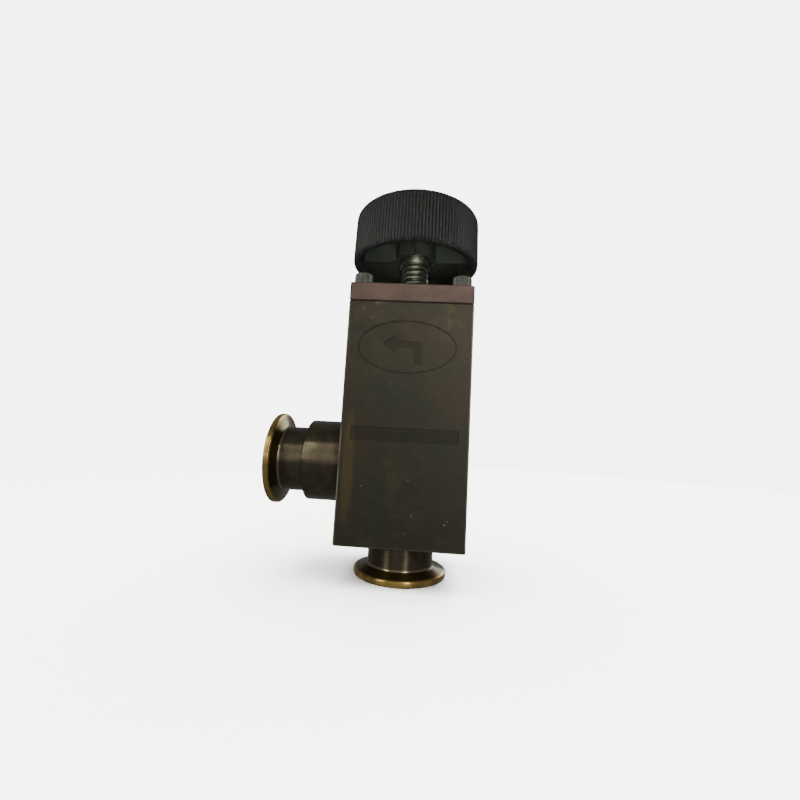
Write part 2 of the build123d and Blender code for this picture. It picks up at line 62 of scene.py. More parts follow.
forward = Vector((math.sin(YAW) * math.cos(PITCH), math.cos(YAW) * math.cos(PITCH), math.sin(PITCH)))
level_right = Vector((math.cos(YAW), -math.sin(YAW), 0))
level_up = level_right.cross(forward)
right = math.cos(ROLL) * level_right + math.sin(ROLL) * level_up
up = math.cos(ROLL) * level_up - math.sin(ROLL) * level_right
camera_data = bpy.data.cameras.new("camera")
camera_data.sensor_width = SENSOR_WIDTH
camera_data.lens = FOCAL_PIXELS / PICTURE_WIDTH * SENSOR_WIDTH
camera_data.clip_start = 0.01
camera = bpy.data.objects.new("camera", camera_data)
camera.matrix_world = Matrix.Translation(CAMERA_PLACE) @ Matrix((right, up, -forward)).transposed().to_4x4()
bpy.context.scene.collection.objects.link(camera)
bpy.context.scene.camera = camera


def srgb(code):
    # Linear colour from a hex code
    parts = [int(code[i : i + 2], 16) / 255 for i in (1, 3, 5)]
    linear = [c / 12.92 if c <= 0.04045 else ((c + 0.055) / 1.055) ** 2.4 for c in parts]
    return (*linear, 1.0)


def add(tree, kind, inputs=None, **settings):
    # One shader node with its settings, and its inputs linked or set
    node = tree.nodes.new(kind)
    for name, value in settings.items():
        setattr(node, name, value)
    for name, value in (inputs or {}).items():
        if isinstance(value, bpy.types.NodeSocket):
            tree.links.new(value, node.inputs[name])
        else:
            node.inputs[name].default_value = value
    return node


# Studio
# A pale floor and backdrop in a softly lit room, with panels in front, to the left and behind, and a
# small one low in front that lights the knob's hollow.
WHITE = srgb("#ffffff")
FLOOR_COLOUR = srgb("#f4f4f2")
BACKDROP_STRENGTH = 6.0
ROOM_STRENGTH = 0.24

world = bpy.data.worlds.new("studio")
bpy.context.scene.world = world
world.use_nodes = True
sky = world.node_tree
backdrop = sky.nodes["Background"]
backdrop.inputs["Color"].default_value = WHITE
backdrop.inputs["Strength"].default_value = BACKDROP_STRENGTH
room = add(sky, "ShaderNodeBackground", {"Color": srgb("#e3e6ea"), "Strength": ROOM_STRENGTH})
path = add(sky, "ShaderNodeLightPath").outputs["Is Camera Ray"]
seen = add(sky, "ShaderNodeMixShader", {0: path, 1: room.outputs[0], 2: backdrop.outputs[0]})
sky.links.new(seen.outputs[0], sky.nodes["World Output"].inputs["Surface"])

# name, place, size across and up, power, colour, point aimed at, spread in degrees
BLOCK_AIM = (0, 0, 0.085)
PANELS = [
    ("left_panel", (-0.62, -0.62, 0.40), (0.20, 0.75), 4.2, "#fffaf2", BLOCK_AIM, 180),
    ("right_panel", (0.32, -0.78, 0.38), (0.11, 0.75), 3.8, "#fbfdff", BLOCK_AIM, 180),
    ("front_panel", (0.05, -0.95, 0.16), (0.90, 0.50), 0.8, "#ffffff", BLOCK_AIM, 180),
    ("knob_panel", (0.02, -0.24, 0.01), (0.10, 0.06), 0.022, "#f2f6ee", (0, 0, 0.150), 24),
    ("back_panel", (0.45, 0.75, 0.45), (0.50, 0.60), 4.0, "#ffffff", BLOCK_AIM, 180),
]
for name, place, size, power, colour, aim, spread in PANELS:
    light = bpy.data.lights.new(name, "AREA")
    light.shape = "RECTANGLE"
    light.size, light.size_y = size
    light.energy = power
    light.color = srgb(colour)[:3]
    light.spread = math.radians(spread)
    lamp = bpy.data.objects.new(name, light)
    lamp.location = place
    lamp.rotation_euler = (Vector(aim) - Vector(place)).to_track_quat("-Z", "Y").to_euler()
    bpy.context.scene.collection.objects.link(lamp)

FLOOR_HALF = 4.0
FLOOR_DROP = 0.0001
floor_mesh = bpy.data.meshes.new("floor")
around = ((-1, -1), (1, -1), (1, 1), (-1, 1))
floor_mesh.from_pydata([(x * FLOOR_HALF, y * FLOOR_HALF, -FLOOR_DROP) for x, y in around], [], [(0, 1, 2, 3)])
floor = bpy.data.objects.new("floor", floor_mesh)
bpy.context.scene.collection.objects.link(floor)
floor_material = bpy.data.materials.new("pale_floor")
floor_material.use_nodes = True
floor_shader = floor_material.node_tree.nodes["Principled BSDF"]
floor_shader.inputs["Base Color"].default_value = FLOOR_COLOUR
floor_shader.inputs["Roughness"].default_value = 0.9
floor_mesh.materials.append(floor_material)

# A broad light from above whitens the floor alone, and the floor throws no light back on the valve
OVERHEAD_STRENGTH = 20.0
OVERHEAD_SPREAD = 75.0
overhead = bpy.data.lights.new("overhead", "SUN")
overhead.energy = OVERHEAD_STRENGTH
overhead.angle = math.radians(OVERHEAD_SPREAD)
overhead_lamp = bpy.data.objects.new("overhead", overhead)
bpy.context.scene.collection.objects.link(overhead_lamp)
lit = bpy.data.collections.new("lit_from_overhead")
lit.objects.link(floor)
overhead_lamp.light_linking.receiver_collection = lit
floor.visible_diffuse = False
floor.visible_glossy = False


class Finish:
    # A material and the small steps that its pattern is put together from; lengths are in millimetres

    def __init__(self, name, metallic, specular=0.5):
        self.material = bpy.data.materials.new(name)
        self.material.use_nodes = True
        self.tree = self.material.node_tree
        self.shader = self.tree.nodes["Principled BSDF"]
        self.shader.inputs["Metallic"].default_value = metallic
        self.shader.inputs["Specular IOR Level"].default_value = specular
        metres = add(self.tree, "ShaderNodeTexCoord").outputs["Object"]
        per_metre = (1 / MM, 1 / MM, 1 / MM)
        self.place = self.step("ShaderNodeVectorMath", {0: metres, 1: per_metre}, operation="MULTIPLY")
        self.parts = add(self.tree, "ShaderNodeSeparateXYZ", {0: self.place}).outputs

    def step(self, kind, inputs, out=0, **settings):
        return add(self.tree, kind, inputs, **settings).outputs[out]

    def math(self, operation, a, b=0.0):
        return self.step("ShaderNodeMath", {0: a, 1: b}, operation=operation)

    def noise(self, size, detail=4.0, roughness=0.55, stretch=(1, 1, 1), shift=(0, 0, 0), vector=None):
        # Cloudy pattern with features of about that size
        scale = [1 / (size * s) for s in stretch]
        scaled = self.step("ShaderNodeMapping", {"Vector": vector or self.place, "Location": shift, "Scale": scale})
        inputs = {"Vector": scaled, "Scale": 1.0, "Detail": detail, "Roughness": roughness}
        return self.step("ShaderNodeTexNoise", inputs)

    def rise(self, value, low, high, to=1.0):
        # 0 below low, up to the given value above high
        inputs = {"Value": value, "From Min": low, "From Max": high, "To Max": to}
        return self.step("ShaderNodeMapRange", inputs, interpolation_type="SMOOTHSTEP")

    def blend(self, amount, a, b):
        return self.step("ShaderNodeMix", {"Factor": amount, 6: a, 7: b}, out=2, data_type="RGBA")

    def both(self, a, b):
        return self.math("MULTIPLY", a, b)

    def mixed(self, value, share, base):
        # A share of a pattern on top of a base value
        return self.math("ADD", self.both(value, share), base)

    def spot(self, centre, reach, soft=0.5):
        # 1 within an ellipsoid, fading to 0 at its surface
        offset = self.step("ShaderNodeVectorMath", {0: self.place, 1: centre}, operation="SUBTRACT")
        unit = self.step("ShaderNodeVectorMath", {0: offset, 1: reach}, operation="DIVIDE")
        length = self.step("ShaderNodeVectorMath", {0: unit}, out=1, operation="LENGTH")
        return self.rise(length, 1.0, 1.0 - soft)

    def from_axis(self, x, y):
        return self.math("SQRT", self.math("ADD", self.both(x, x), self.both(y, y)))

    def finish(self, colour, roughness, relief, depth):
        # Depth is the height in millimetres of the full relief
        self.tree.links.new(colour, self.shader.inputs["Base Color"])
        self.tree.links.new(roughness, self.shader.inputs["Roughness"])
        bump = self.step("ShaderNodeBump", {"Height": relief, "Distance": depth * MM})
        self.tree.links.new(bump, self.shader.inputs["Normal"])
        return self.material


def shown(mesh, name, material, body, replaced, sharp):
    # An object for a mesh in the frame, with edges sharper than the angle left crisp
    mesh.polygons.foreach_set("use_smooth", [True] * len(mesh.polygons))
    mesh.set_sharp_from_angle(angle=math.radians(sharp))
    mesh.materials.clear()
    mesh.materials.append(material)
    obj = bpy.data.objects.new(name, mesh)
    bpy.context.scene.collection.objects.link(obj)
    if body:
        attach(obj, body)
    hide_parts(replaced)
    return obj


def solid(name, points, faces):
    # A closed mesh from points in millimetres
    mesh = bpy.data.meshes.new(name)
    mesh.from_pydata([[c * MM for c in p] for p in points], [], faces)
    form = bmesh.new()
    form.from_mesh(mesh)
    bmesh.ops.remove_doubles(form, verts=form.verts, dist=1e-7)
    bmesh.ops.recalc_face_normals(form, faces=form.faces)
    form.to_mesh(mesh)
    form.free()
    return mesh


def turned(outline, segments, closed=True, radius_at=None):
    # Points and faces of (radius, height) pairs swept round +Z; radius_at may change a radius
    points = []
    for k in range(segments):
        angle = 2 * math.pi * k / segments
        for radius, height in outline:
            r = radius_at(radius, height, angle) if radius_at else radius
            points.append((r * math.cos(angle), r * math.sin(angle), height))
    count = len(outline)
    last = count if closed else count - 1
    faces = []
    for k in range(segments):
        here, there = k * count, (k + 1) % segments * count
        for i in range(last):
            j = (i + 1) % count
            faces.append((here + i, there + i, there + j, here + j))
    return points, faces


def prism(outline, low, high, place):
    # Points and faces of a flat outline carried between two levels; place gives a point's position
    count = len(outline)
    points = [place(a, b, level) for level in (low, high) for a, b in outline]
    sides = [(i, (i + 1) % count, (i + 1) % count + count, i + count) for i in range(count)]
    return points, sides + [tuple(range(count)), tuple(range(count, 2 * count))]


def together(*shapes):
    # Several sets of points and faces as one
    points, faces = [], []
    for more_points, more_faces in shapes:
        faces += [tuple(i + len(points) for i in face) for face in more_faces]
        points += more_points
    return points, faces


def rounding(centre, radius, start, end, steps=6):
    # Points of an arc in the (radius, height) plane, angles in degrees
    angles = [math.radians(start + (end - start) * i / steps) for i in range(steps + 1)]
    return [(centre[0] + radius * math.cos(a), centre[1] + radius * math.sin(a)) for a in angles]


def dress(material, *nodes):
    # Gives CAD nodes their finished material
    for node in nodes:
        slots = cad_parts[node].data.materials
        for index in range(len(slots)):
            slots[index] = material


# Valve block
# Milled from square brass bar and left dark: an uneven olive and brown patina, rubbed through to
# yellow brass down the left. The front carries a cut flow sign in an oval, and a blank band.
BLOCK_LOW, BLOCK_HIGH = (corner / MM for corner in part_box("valve_block"))
BLOCK_HALF = BLOCK_HIGH.x
BLOCK_MIDDLE = (BLOCK_LOW.z + BLOCK_HIGH.z) / 2
BLOCK_HALF_HEIGHT = (BLOCK_HIGH.z - BLOCK_LOW.z) / 2

brass = Finish("patinated_brass", 0.62, specular=0.4)
x, y, z = brass.parts
cloud = brass.noise(30, 5, 0.6)
fine = brass.noise(4.5, 6, 0.65, shift=(3, 1, 7))
grain = brass.noise(0.7, 3, 0.6)
colour = brass.blend(brass.rise(cloud, 0.4, 0.6), srgb("#323226"), srgb("#393227"))
colour = brass.blend(brass.rise(brass.noise(16, 4, 0.6, shift=(9, 4, 2)), 0.5, 0.7, 0.6), colour, srgb("#2c3025"))
colour = brass.blend(brass.rise(fine, 0.45, 0.75, 0.4), colour, srgb("#443d30"))
colour = brass.blend(brass.rise(brass.noise(1.3, 3, 0.6, shift=(2, 9, 4)), 0.6, 0.72, 0.25), colour, srgb("#2a2a22"))


def front(across, height, reach_across, reach_up, soft):
    # A patch on the front face
    return brass.spot((across, -BLOCK_HALF, height), (reach_across, 3, reach_up), soft)


# Yellow brass rubbed bright in a strip down the left, green and gold tints at the upper right
strip = brass.both(front(-21.4, 46, 3.0, 27, 0.5), brass.rise(brass.noise(9, 3, 0.5, stretch=(1, 1, 3)), 0.25, 0.5))
colour = brass.blend(brass.both(strip, 0.5), colour, srgb("#564a26"))
tint = brass.rise(brass.noise(3.0, 4, 0.7, shift=(5, 5, 1)), 0.45, 0.66)
colour = brass.blend(brass.both(brass.both(front(16, 105, 8, 12, 0.9), tint), 0.4), colour, srgb("#575130"))
pale = brass.rise(brass.noise(2.4, 3, 0.6, shift=(2, 8, 4)), 0.58, 0.7)
colour = brass.blend(brass.both(brass.both(front(-14, 110, 14, 6, 0.7), pale), 0.4), colour, srgb("#68645a"))
olive = brass.rise(brass.noise(7, 3, 0.5, shift=(1, 5, 8)), 0.4, 0.65)
colour = brass.blend(brass.both(brass.both(front(-8, 42, 12, 12, 0.9), olive), 0.35), colour, srgb("#4a4a24"))
# A few faint cross scratches low on the front, and small pale nicks
scratch = brass.rise(brass.noise(0.9, 2, 0.5, stretch=(24, 24, 0.14)), 0.6, 0.68)
scratch = brass.both(scratch, front(3, 31, 13, 5, 0.7))
colour = brass.blend(brass.both(scratch, 0.45), colour, srgb("#7d7560"))
NICKS = [(-15.7, 38.9, 0.3), (2.3, 42.2, 0.35), (4.3, 29.1, 0.35), (1.8, 22.0, 0.3), (16.9, 26.2, 0.45), (18.0, 27.6, 0.3)]
for across, height, size in NICKS:
    colour = brass.blend(brass.both(front(across, height, size, 0.8 * size, 0.8), 0.7), colour, srgb("#a8a28c"))
# Distance in from the nearest outer edge, for the worn corners and their painted edge highlight
side_x = brass.math("SUBTRACT", BLOCK_HALF, brass.math("ABSOLUTE", x))
side_y = brass.math("SUBTRACT", BLOCK_HALF, brass.math("ABSOLUTE", y))
side_z = brass.math("SUBTRACT", BLOCK_HALF_HEIGHT, brass.math("ABSOLUTE", brass.math("SUBTRACT", z, BLOCK_MIDDLE)))
corner = brass.math("ADD", side_x, side_y)
rim_line = brass.math("ADD", brass.math("MINIMUM", side_x, side_y), side_z)
patchy = brass.rise(brass.noise(14, 3, 0.5, shift=(1, 6, 2)), 0.4, 0.6)
# Pale on the vertical corners: partly wear, partly a painted highlight along the edges
corner_wear_and_highlight = brass.both(brass.rise(corner, 0.65, 0.4), brass.mixed(patchy, 0.65, 0.35))
worn_below = brass.both(brass.rise(rim_line, 0.65, 0.4), brass.rise(z, BLOCK_MIDDLE, BLOCK_MIDDLE - 5, 0.35))
colour = brass.blend(brass.math("MAXIMUM", corner_wear_and_highlight, worn_below), colour, srgb("#a09a80"))
# The floors of the cut sign and the band are coloured darker
recess = brass.both(brass.rise(side_y, 0.06, 0.16), brass.rise(y, 0, -1))
recess = brass.both(recess, brass.rise(side_x, 1.6, 2.0))
colour = brass.blend(brass.both(recess, 0.35), colour, srgb("#16150f"))
relief = brass.math("ADD", brass.both(grain, 0.35), brass.both(fine, 0.6))
brass_material = brass.finish(colour, brass.mixed(fine, 0.25, 0.36), relief, depth=0.05)

# The cut sign: gas goes up from the lower port and out to the left
SIGN_PLACE = (-0.8, 94.5)
SIGN_DEPTH = 0.3
OVAL_ACROSS, OVAL_UP = 19.8, 10.9
OVAL_LINE = 0.6
OVAL_SEGMENTS = 120
ARROW = [(3.0, -7.0), (6.0, -7.0), (6.0, 2.5), (-4.5, 2.5), (-4.5, 5.0), (-10.0, 1.0), (-4.5, -3.0), (-4.5, -0.5), (3.0, -0.5)]


def on_front(across, height, level):
    return (SIGN_PLACE[0] + across, -BLOCK_HALF + level, SIGN_PLACE[1] + height)


oval_points = []
oval_faces = []
for k in range(OVAL_SEGMENTS):
    angle = 2 * math.pi * k / OVAL_SEGMENTS
    for edge, level in ((0, -1), (OVAL_LINE, -1), (OVAL_LINE, SIGN_DEPTH), (0, SIGN_DEPTH)):
        reach = (OVAL_ACROSS - edge, OVAL_UP - edge)
        oval_points.append(on_front(reach[0] * math.cos(angle), reach[1] * math.sin(angle), level))
    for i in range(4):
        here, there = 4 * k, 4 * ((k + 1) % OVAL_SEGMENTS)
        oval_faces.append((here + i, there + i, there + (i + 1) % 4, here + (i + 1) % 4))
cutter_mesh = solid("sign_cutter", *together((oval_points, oval_faces), prism(ARROW, -1, SIGN_DEPTH, on_front)))
cutter = bpy.data.objects.new("sign_cutter", cutter_mesh)
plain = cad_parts["valve_block"].data
plain_mesh = solid("uncut_block", [v.co / MM for v in plain.vertices], [tuple(p.vertices) for p in plain.polygons])
uncut = bpy.data.objects.new("uncut_block", plain_mesh)
for obj in (cutter, uncut):
    bpy.context.scene.collection.objects.link(obj)
cut = uncut.modifiers.new("sign", "BOOLEAN")
cut.operation = "DIFFERENCE"
cut.solver = "EXACT"
cut.object = cutter
engraved_mesh = bpy.data.meshes.new_from_object(uncut.evaluated_get(bpy.context.evaluated_depsgraph_get()))
for obj in (cutter, uncut):
    bpy.data.objects.remove(obj)
shown(engraved_mesh, "engraved_block", brass_material, "valve_body", "valve_block", 20)

# Bonnet plate
# Bronze plate, drier and redder than the block, closed down on it by four screws.
bronze = Finish("aged_bronze", 0.3, specular=0.4)
colour = bronze.blend(bronze.rise(bronze.noise(11, 5, 0.6), 0.35, 0.65), srgb("#493a31"), srgb("#544338"))
colour = bronze.blend(bronze.rise(bronze.noise(3, 5, 0.7, shift=(4, 4, 4)), 0.5, 0.75, 0.4), colour, srgb("#4b382c"))
seam = bronze.rise(bronze.parts[2], BLOCK_HIGH.z + 0.6, BLOCK_HIGH.z + 0.1)
colour = bronze.blend(bronze.both(seam, 0.8), colour, srgb("#1c1611"))
bronze_grain = bronze.noise(0.7, 3, 0.6)
bronze_material = bronze.finish(colour, bronze.mixed(bronze_grain, 0.2, 0.45), bronze_grain, depth=0.03)
dress(bronze_material, "bonnet_plate")

# Ports
# Turned brass flanges with short necks: olive and dark in the taper behind the rim, gold on the rim.
RIM_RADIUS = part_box("lower_port")[1].x / MM
RIM_THICKNESS = 2.6
RIM_ROUND = 0.75
TAPER = 15.0
NECK_RADIUS = 14.2
NECK_FILLET = 0.8
BORE_RADIUS = 12.0
RECESS_RADIUS = 13.1
RECESS_DEPTH = 3.0
SPIGOT = 5.0
SIDE_SPIGOT_RADIUS = 15.0
COLLAR_RADIUS = 17.7
COLLAR_LENGTH = 17.1
COLLAR_CHAMFER = 0.6
NECK_START = RIM_THICKNESS + (RIM_RADIUS - NECK_RADIUS) * math.tan(math.radians(TAPER))


def port_outline(length, end_radius, collar=()):
    # Sealing face at height 0, neck upwards
    outline = [(RECESS_RADIUS, 0)]
    outline += rounding((RIM_RADIUS - RIM_ROUND, RIM_ROUND), RIM_ROUND, -90, 0)
    outline += rounding((RIM_RADIUS - RIM_ROUND, RIM_THICKNESS - 0.8 * RIM_ROUND), RIM_ROUND, 0, 90 - TAPER)
    reach = math.tan(math.radians((90 - TAPER) / 2)) * NECK_FILLET
    outline += rounding((NECK_RADIUS + NECK_FILLET, NECK_START + reach), NECK_FILLET, 270 - TAPER, 180)
    outline += [*collar, (end_radius, length), (end_radius, length + SPIGOT), (BORE_RADIUS, length + SPIGOT)]
    return outline + [(BORE_RADIUS, RECESS_DEPTH), (RECESS_RADIUS, RECESS_DEPTH)]


def port_finish(name, axis, turn, shift, seat):
    # The same finish on either axis: turn and shift bring the port's own axis upright
    port = Finish(name, 0.85)
    # Fine turning marks run round the axis and draw each highlight out along it
    round_axis = port.step("ShaderNodeTangent", {}, direction_type="RADIAL", axis=axis)
    port.tree.links.new(round_axis, port.shader.inputs["Tangent"])
    port.shader.inputs["Anisotropic"].default_value = 0.8
    port.shader.inputs["Anisotropic Rotation"].default_value = 0.25
    local = port.step("ShaderNodeMapping", {"Vector": port.place, "Location": shift, "Rotation": turn})
    px, py, height = add(port.tree, "ShaderNodeSeparateXYZ", {0: local}).outputs
    mottle = port.noise(6, 5, 0.65)
    rings = port.noise(0.35, 2, 0.6, stretch=(60, 60, 1), vector=local)
    colour = port.blend(port.rise(mottle, 0.35, 0.65), srgb("#5e5745"), srgb("#4c4435"))
    reddish = port.both(port.rise(height, seat - 4.5, seat - 2.5), port.mixed(mottle, 0.8, 0.1))
    colour = port.blend(reddish, colour, srgb("#4f3a30"))
    # A thin pale ring where the taper meets the neck: a painted highlight on the fillet
    neck_root_highlight = port.both(port.rise(height, NECK_START - 0.1, NECK_START + 0.3), port.rise(height, NECK_START + 1.1, NECK_START + 0.7))
    colour = port.blend(port.both(neck_root_highlight, 0.55), colour, srgb("#b09a78"))
    taper_dark = port.both(port.rise(height, RIM_THICKNESS - 0.5, RIM_THICKNESS + 0.1), port.rise(height, NECK_START + 0.2, NECK_START - 0.2))
    colour = port.blend(port.both(taper_dark, 0.92), colour, srgb("#5a4b22"))
    wave = port.math("SUBTRACT", port.noise(5, 4, 0.6, shift=(1, 2, 3)), 0.5)
    uneven = port.math("ADD", port.from_axis(px, py), port.both(wave, 1.2))
    rim = port.rise(uneven, RIM_RADIUS - 1.2, RIM_RADIUS - 0.4)
    rim_tone = port.blend(port.rise(port.noise(6, 4, 0.6, shift=(7, 2, 5)), 0.4, 0.7), srgb("#b89a55"), srgb("#8c7440"))
    colour = port.blend(port.both(rim, 0.95), colour, rim_tone)
    relief = port.math("ADD", port.both(rings, 0.7), port.both(mottle, 0.3))
    return port.finish(colour, port.mixed(mottle, 0.16, 0.2), relief, depth=0.02)


LOWER_LENGTH = BLOCK_LOW.z
lower_material = port_finish("turned_brass_lower", "Z", (0, 0, 0), (0, 0, 0), LOWER_LENGTH)
lower_mesh = solid("lower_port_turning", *turned(port_outline(LOWER_LENGTH, NECK_RADIUS), 180))
shown(lower_mesh, "lower_port_turning", lower_material, "valve_body", "lower_port", 30)

SIDE_LOW, SIDE_HIGH = (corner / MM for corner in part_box("side_port"))
SIDE_HEIGHT = (SIDE_LOW.z + SIDE_HIGH.z) / 2
SIDE_LENGTH = -SIDE_LOW.x - BLOCK_HALF
COLLAR_START = SIDE_LENGTH - COLLAR_LENGTH
COLLAR = [
    (NECK_RADIUS, COLLAR_START),
    *rounding((COLLAR_RADIUS - COLLAR_CHAMFER, COLLAR_START + COLLAR_CHAMFER), COLLAR_CHAMFER, -90, 0, 4),
    (COLLAR_RADIUS, SIDE_LENGTH),
]
side_shift = (SIDE_HEIGHT, 0, -SIDE_LOW.x)
side_material = port_finish("turned_brass_side", "X", (0, -math.pi / 2, 0), side_shift, SIDE_LENGTH)
sideways = Matrix.Translation((SIDE_LOW.x, 0, SIDE_HEIGHT)) @ Matrix.Rotation(math.pi / 2, 4, "Y")
points, faces = turned(port_outline(SIDE_LENGTH, SIDE_SPIGOT_RADIUS, COLLAR), 180)
side_mesh = solid("side_port_turning", [sideways @ Vector(p) for p in points], faces)
shown(side_mesh, "side_port_turning", side_material, "valve_body", "side_port", 30)

# Bonnet screws
# Socket head screws of blackened steel with knurled heads, set down on the plate.
SCREW_CHAMFER = 0.45
SCREW_FOOT = 0.3
KNURLS = 56
KNURL_DEPTH = 0.14
SOCKET_RADIUS = 4.0 / math.sqrt(3)
SOCKET_DEPTH = 2.6
SHANK_RADIUS = 2.35
PLATE_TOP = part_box("bonnet_plate")[1].z / MM

steel = Finish("blackened_steel", 0.8)
tone = steel.noise(1.8, 4, 0.6)
colour = steel.blend(steel.rise(tone, 0.4, 0.65), srgb("#464a45"), srgb("#5a5950"))
steel_material = steel.finish(colour, steel.mixed(tone, 0.3, 0.3), steel.noise(0.25, 2, 0.5), depth=0.02)

for number in range(1, 5):
    low, high = (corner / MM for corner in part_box(f"bonnet_screw_{number}"))
    centre = (low + high) / 2
    head_radius = (high.x - low.x) / 2
    head_top = high.z
    outline = [(0.0, low.z), (SHANK_RADIUS, low.z), (SHANK_RADIUS, PLATE_TOP)]
    outline += [(head_radius - SCREW_FOOT, PLATE_TOP), (head_radius, PLATE_TOP + SCREW_FOOT)]
    outline += [(head_radius, head_top - SCREW_CHAMFER), (head_radius - SCREW_CHAMFER, head_top)]
    outline += [(SOCKET_RADIUS, head_top), (SOCKET_RADIUS, head_top - SOCKET_DEPTH), (0.0, head_top - SOCKET_DEPTH)]

    def screw_radius(radius, height, angle, turned_by=0.35 * number, full=head_radius):
        # A hexagon in the socket, and a straight knurl on the head's side
        if radius == SOCKET_RADIUS:
            from_flat = (angle + turned_by) % (math.pi / 3) - math.pi / 6
            return SOCKET_RADIUS * math.cos(math.pi / 6) / math.cos(from_flat)
        if radius == full:
            return radius - KNURL_DEPTH * (0.5 - 0.5 * math.cos(KNURLS * angle))
        return radius

    points, faces = turned(outline, KNURLS * 4, closed=False, radius_at=screw_radius)
    screw_mesh = solid(f"knurled_screw_{number}", [(px + centre.x, py + centre.y, pz) for px, py, pz in points], faces)
    shown(screw_mesh, f"knurled_screw_{number}", steel_material, "valve_body", f"bonnet_screw_{number}", 25)

# Stem
# Turned steel with a coarse rounded thread, and a smooth shoulder that carries the knob.
THREAD_PITCH = 2.54
THREAD_RADIUS = 6.35
THREAD_DEPTH = 0.85
THREAD_LOW = 100.5
THREAD_HIGH = 139.0
THREAD_STEPS = 300
RUNOUT = 1.3
SHOULDER_TOP = 144.7
SHOULDER_CHAMFER = 0.4
STEM_END_RADIUS = 5.0
STEM_SHANK_RADIUS = 4.7
STEM_LOW, STEM_HIGH = (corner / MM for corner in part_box("stem"))
SHOULDER_RADIUS = STEM_HIGH.x

stem_steel = Finish("turned_steel", 0.9)
tone = stem_steel.noise(3, 4, 0.6)
colour = stem_steel.blend(stem_steel.rise(tone, 0.35, 0.68), srgb("#777b6c"), srgb("#55574a"))
rings = stem_steel.noise(0.3, 2, 0.5, stretch=(40, 40, 1))
stem_material = stem_steel.finish(colour, stem_steel.mixed(tone, 0.25, 0.24), rings, depth=0.015)


def threaded(radius, height, angle):
    # A right-hand helix of broad round crests and narrow roots, running out at both ends
    if not THREAD_LOW < height < THREAD_HIGH:
        return radius
    phase = (height / THREAD_PITCH - angle / (2 * math.pi)) % 1.0
    fade = min(1.0, (height - THREAD_LOW) / RUNOUT, (THREAD_HIGH - height) / RUNOUT)
    return radius - THREAD_DEPTH * fade * abs(2 * phase - 1) ** 2.4


thread_rise = (THREAD_HIGH - THREAD_LOW) / THREAD_STEPS
outline = [(0, STEM_LOW.z), (STEM_END_RADIUS, STEM_LOW.z), (STEM_END_RADIUS, THREAD_LOW)]
outline += [(THREAD_RADIUS, THREAD_LOW + i * thread_rise) for i in range(THREAD_STEPS + 1)]
outline += [(SHOULDER_RADIUS - SHOULDER_CHAMFER, THREAD_HIGH), (SHOULDER_RADIUS, THREAD_HIGH + SHOULDER_CHAMFER)]
outline += [(SHOULDER_RADIUS, SHOULDER_TOP), (STEM_SHANK_RADIUS, SHOULDER_TOP)]
outline += [(STEM_SHANK_RADIUS, STEM_HIGH.z), (0, STEM_HIGH.z)]
stem_mesh = solid("threaded_stem", *turned(outline, 72, closed=False, radius_at=threaded))
shown(stem_mesh, "threaded_stem", stem_material, "knob_unit", "stem", 45)

# Knob
# Moulded black plastic: fine flutes between a rounded crown and a smooth rounded lip, and a hollow
# underside with a hub and four ribs. Crests carry a painted highlight, grooves are painted dark for shade and dust, and
# the hollow is painted paler for light bounced up into it.
KNOB_LOW, KNOB_HIGH = (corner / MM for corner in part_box("knob"))
KNOB_RADIUS = KNOB_HIGH.x
KNOB_DRAFT = 0.4
CROWN_ROUND = 2.6
LIP_ROUND = 1.8
FLUTES = 126
FLUTE_DEPTH = 0.5
FLUTE_STEPS = 8
HOLLOW_RADIUS = 25.2
HOLLOW_ROUND = 2.0
MOUTH_RADIUS = 26.9
MOUTH_DEPTH = 2.2
TOP_WALL = 3.5
HUB_RADIUS = 9.5
HUB_BORE = 7.6
HUB_BOTTOM = 142.2
HUB_EDGE = 0.3
CAP_RECESS_RADIUS = 7.5
RIB_HALF = 0.65
HOLLOW_TOP = KNOB_HIGH.z - TOP_WALL

plastic = Finish("black_plastic", 0.0, specular=0.35)
x, y, z = plastic.parts
tone = plastic.noise(9, 5, 0.6)
colour = plastic.blend(plastic.rise(tone, 0.35, 0.7), srgb("#101213"), srgb("#181a16"))
colour = plastic.blend(plastic.rise(plastic.noise(0.6, 4, 0.7), 0.6, 0.75, 0.3), colour, srgb("#33352f"))
radius = plastic.from_axis(x, y)
draft = plastic.both(plastic.math("SUBTRACT", z, KNOB_LOW.z), KNOB_DRAFT / (KNOB_HIGH.z - KNOB_LOW.z))
below_crest = plastic.math("SUBTRACT", plastic.math("SUBTRACT", KNOB_RADIUS, draft), radius)
on_side = plastic.rise(below_crest, 1.4, 0.7)
fluted = plastic.both(plastic.rise(z, KNOB_LOW.z + 0.3, KNOB_LOW.z + 1.2), plastic.rise(z, KNOB_HIGH.z - 1.2, KNOB_HIGH.z - 2.4))
# Grooves painted near black: painted shade, with some dust
groove_shade_and_dust = plastic.both(plastic.both(plastic.rise(below_crest, 0.1, 0.42), on_side), fluted)
# Crests painted paler: a painted highlight
crest_highlight = plastic.both(plastic.both(plastic.rise(below_crest, 0.2, 0.0), on_side), fluted)
colour = plastic.blend(plastic.both(crest_highlight, 0.6), colour, srgb("#30342f"))
colour = plastic.blend(plastic.both(groove_shade_and_dust, 0.85), colour, srgb("#070808"))
# The hollow painted a paler grey-green: painted light standing in for light bounced up from the floor
within = plastic.both(plastic.rise(radius, 27.0, 26.2), plastic.rise(z, HOLLOW_TOP + 1, HOLLOW_TOP))
colour = plastic.blend(plastic.both(within, 0.8), colour, srgb("#3c4038"))
plastic_grain = plastic.noise(0.5, 3, 0.6)
plastic_material = plastic.finish(colour, plastic.mixed(tone, 0.2, 0.5), plastic_grain, depth=0.012)
dress(plastic_material, "knob_cap")


